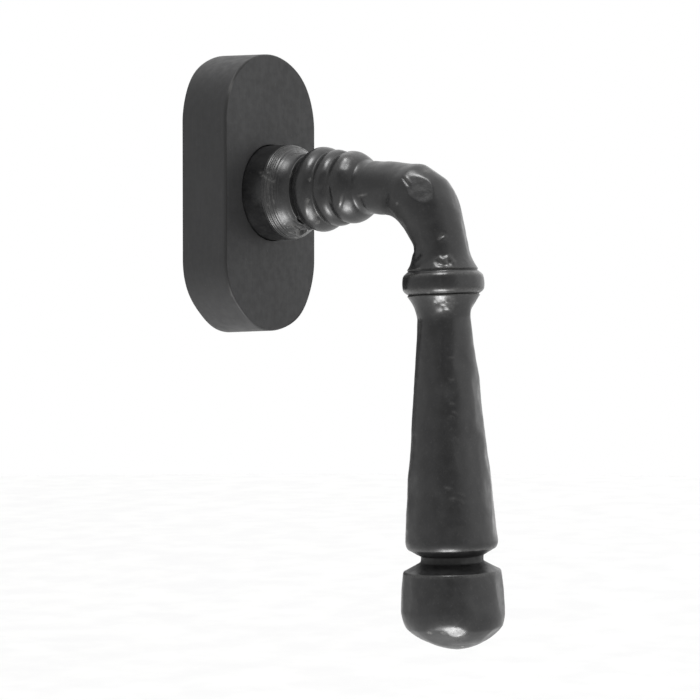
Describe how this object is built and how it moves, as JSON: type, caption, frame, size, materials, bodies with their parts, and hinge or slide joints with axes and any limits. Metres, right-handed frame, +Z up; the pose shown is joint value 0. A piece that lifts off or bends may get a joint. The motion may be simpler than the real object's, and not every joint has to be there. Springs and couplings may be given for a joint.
{
  "type": "tilt-and-turn window handle",
  "caption": "Black forged window handle: reeded neck, elbow, tapered grip with pointed knob, turning on an oblong rose with a slide-off cover",
  "frame": {"origin": "on the lever's turning axis, in the plane of the rose's back face, midway between the two fixing holes", "axes": "+Z up along the rose, -Y out of the window towards the room, +X to the right as seen from the room"},
  "size_m": [0.034, 0.0778, 0.1357],
  "materials": {
    "forged_black": "satin black powder coat over hand-forged iron, soft hammer marks, worn to a sheen on edges",
    "cover_black": "satin black powder coat over forged steel",
    "zinc": "die-cast zinc alloy, matt grey, as cast",
    "plated_steel": "bright zinc-plated steel",
    "hub_steel": "turned and broached steel",
    "spring_steel": "oiled spring steel",
    "ball_steel": "polished bearing steel",
    "black_oxide": "black oxide screw",
    "nylon": "natural moulded nylon",
    "acetal": "black moulded acetal"
  },
  "bodies": {
    "base": {"base_plate": "zinc", "backing_plate": "plated_steel", "backing_screws": "plated_steel", "detent_cage": "acetal", "detent_spring_upper": "spring_steel", "detent_spring_lower": "spring_steel", "rear_bush": "nylon", "front_bush": "nylon", "thrust_washer": "plated_steel", "cover_spring_upper": "spring_steel", "cover_spring_lower": "spring_steel", "cover_spring_rivets": "plated_steel"},
    "lever_assembly": {"lever": "forged_black", "spindle_hub": "hub_steel", "index_disc": "hub_steel", "spring_washer": "spring_steel", "retaining_clip": "spring_steel", "grub_screw": "black_oxide"},
    "cover": {"rose_cover": "cover_black"},
    "upper_ball": {"detent_ball_upper": "ball_steel"},
    "lower_ball": {"detent_ball_lower": "ball_steel"}
  },
  "joints": [
    {"name": "lever_turn", "type": "hinge", "parent": "base", "child": "lever_assembly", "pos_m": [0, 0, 0], "axis": [0, -1, 0], "continuous": true},
    {"name": "cover_slide", "type": "slide", "parent": "base", "child": "cover", "axis": [0, -1, 0], "range_m": [0, 0.036]},
    {"name": "upper_ball_lift", "type": "slide", "parent": "base", "child": "upper_ball", "axis": [0, 0, -1], "range_m": [0, 0.0005], "stiffness_N_per_m": 1200, "springref_m": 0.0015, "deforming": ["detent_spring_upper"]},
    {"name": "lower_ball_lift", "type": "slide", "parent": "base", "child": "lower_ball", "axis": [0, 0, 1], "range_m": [0, 0.0005], "stiffness_N_per_m": 1200, "springref_m": 0.0015, "deforming": ["detent_spring_lower"]}
  ]
}
